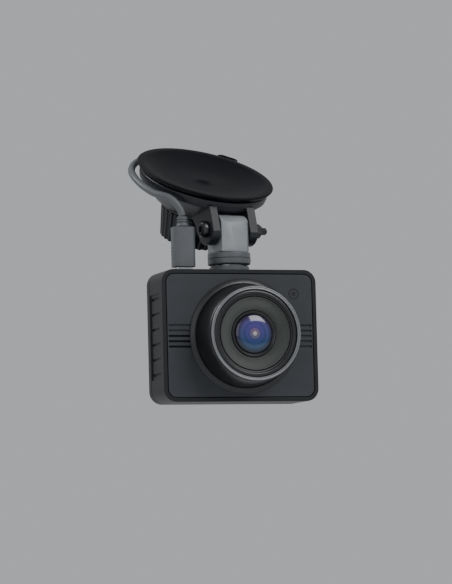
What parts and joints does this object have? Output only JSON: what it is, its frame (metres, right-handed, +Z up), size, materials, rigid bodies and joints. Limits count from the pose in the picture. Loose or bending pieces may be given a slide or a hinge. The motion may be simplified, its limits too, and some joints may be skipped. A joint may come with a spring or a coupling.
{
  "type": "dash camera",
  "caption": "Compact box-shaped dash camera with a wide round lens, hung from a twist-lock suction mount by a tilting clevis and a swivel disc, with its coiled power lead",
  "frame": {"origin": "middle of the suction cup's sealing plane, where the windscreen holds the part", "axes": "+Z up, lens faces -Y, +X to the right seen from in front of the lens; the windscreen's outward normal leans forward by 61 degrees from level"},
  "size_m": [0.0707, 0.078, 0.1118],
  "materials": {
    "cup_rubber": "glossy black rubber",
    "mount_plastic": "satin dark slate plastic",
    "steel": "machined steel",
    "knuckle_grey": "light grey satin plastic",
    "disc_grey": "mid grey satin plastic",
    "case_black": "fine textured black plastic",
    "panel_grey": "matte blue-grey plastic",
    "trim_silver": "satin silver-grey paint",
    "baffle_grey": "matte greenish grey, finely ribbed",
    "lens_glass": "coated glass, violet and blue",
    "display_glass": "gloss black window",
    "circuit_board": "green solder mask",
    "chip_black": "matte black",
    "battery_foil": "foil",
    "key_rubber": "matte rubber",
    "lead_grey": "satin grey jacket"
  },
  "bodies": {
    "mount": {"suction_cup": "cup_rubber", "mount_housing": "mount_plastic", "tilt_bolt": "steel", "tilt_nut": "steel", "tilt_washer": "steel", "plunger_spring": "steel"},
    "twist_knob": {"twist_knob": "mount_plastic", "knob_cap": "mount_plastic"},
    "plunger": {"plunger_stem": "steel"},
    "knuckle": {"knuckle_block": "knuckle_grey", "swivel_disc": "disc_grey", "friction_washer": "steel", "swivel_screw": "steel"},
    "camera": {"baffle_cone": "baffle_grey", "battery": "battery_foil", "card_socket": "steel", "case_screw_1": "steel", "case_screw_2": "steel", "case_screw_3": "steel", "case_screw_4": "steel", "cord_coil": "lead_grey", "cord_run": "lead_grey", "cord_tail": "lead_grey", "cord_tie": "cup_rubber", "display_module": "steel", "display_window": "display_glass", "far_plug_body": "lead_grey", "far_plug_shell": "steel", "front_lens": "lens_glass", "front_panel": "panel_grey", "front_shell": "case_black", "image_sensor": "chip_black", "inner_lens": "lens_glass", "lens_barrel": "case_black", "lens_bezel": "case_black", "lens_flare_ring": "case_black", "lens_holder": "mount_plastic", "main_board": "circuit_board", "microphone": "steel", "plug_housing": "lead_grey", "plug_shell": "steel", "rear_shell": "case_black", "retaining_ring": "case_black", "sensor_board": "circuit_board", "speaker": "steel", "status_light": "display_glass", "strain_relief": "lead_grey", "swivel_socket": "mount_plastic", "trim_ring": "trim_silver", "usb_socket": "steel"},
    "key_1": {"key_1": "key_rubber"},
    "key_2": {"key_2": "key_rubber"},
    "key_3": {"key_3": "key_rubber"},
    "key_4": {"key_4": "key_rubber"},
    "power_button": {"power_button": "key_rubber"},
    "memory_card": {"memory_card": "chip_black"}
  },
  "joints": [
    {"name": "tilt", "type": "hinge", "parent": "mount", "child": "knuckle", "pos_m": [0.00346, -0.01703, -0.0261], "axis": [0.9799, 0.1994, 0], "range_deg": [-35, 25], "deforming": ["cord_run"]},
    {"name": "swivel", "type": "hinge", "parent": "knuckle", "child": "camera", "pos_m": [0.00346, -0.01703, -0.0261], "axis": [0, 0, 1], "range_deg": [-28.5, 51.5], "deforming": ["cord_run"]},
    {"name": "knob_twist", "type": "hinge", "parent": "mount", "child": "twist_knob", "pos_m": [-0.00191, 0.00938, -0.01756], "axis": [0.0954, -0.4691, 0.878], "range_deg": [0, 90]},
    {"name": "plunger_slide", "type": "slide", "parent": "mount", "child": "plunger", "axis": [0.0954, -0.4691, 0.878], "range_m": [0, 0.003]},
    {"name": "key_1_press", "type": "slide", "parent": "camera", "child": "key_1", "axis": [0, -1, 0], "range_m": [0, 0.0005], "stiffness_N_per_m": 800, "springref_m": -0.0005},
    {"name": "key_2_press", "type": "slide", "parent": "camera", "child": "key_2", "axis": [0, -1, 0], "range_m": [0, 0.0005], "stiffness_N_per_m": 800, "springref_m": -0.0005},
    {"name": "key_3_press", "type": "slide", "parent": "camera", "child": "key_3", "axis": [0, -1, 0], "range_m": [0, 0.0005], "stiffness_N_per_m": 800, "springref_m": -0.0005},
    {"name": "key_4_press", "type": "slide", "parent": "camera", "child": "key_4", "axis": [0, -1, 0], "range_m": [0, 0.0005], "stiffness_N_per_m": 800, "springref_m": -0.0005},
    {"name": "power_press", "type": "slide", "parent": "camera", "child": "power_button", "axis": [-1, 0, 0], "range_m": [0, 0.0004], "stiffness_N_per_m": 800, "springref_m": -0.0005},
    {"name": "card_slide", "type": "slide", "parent": "camera", "child": "memory_card", "axis": [1, 0, 0], "range_m": [0, 0.014]}
  ],
  "couplings": [
    {"joint": "knob_twist", "follows": "plunger_slide", "rad_per_m": 523.6}
  ]
}
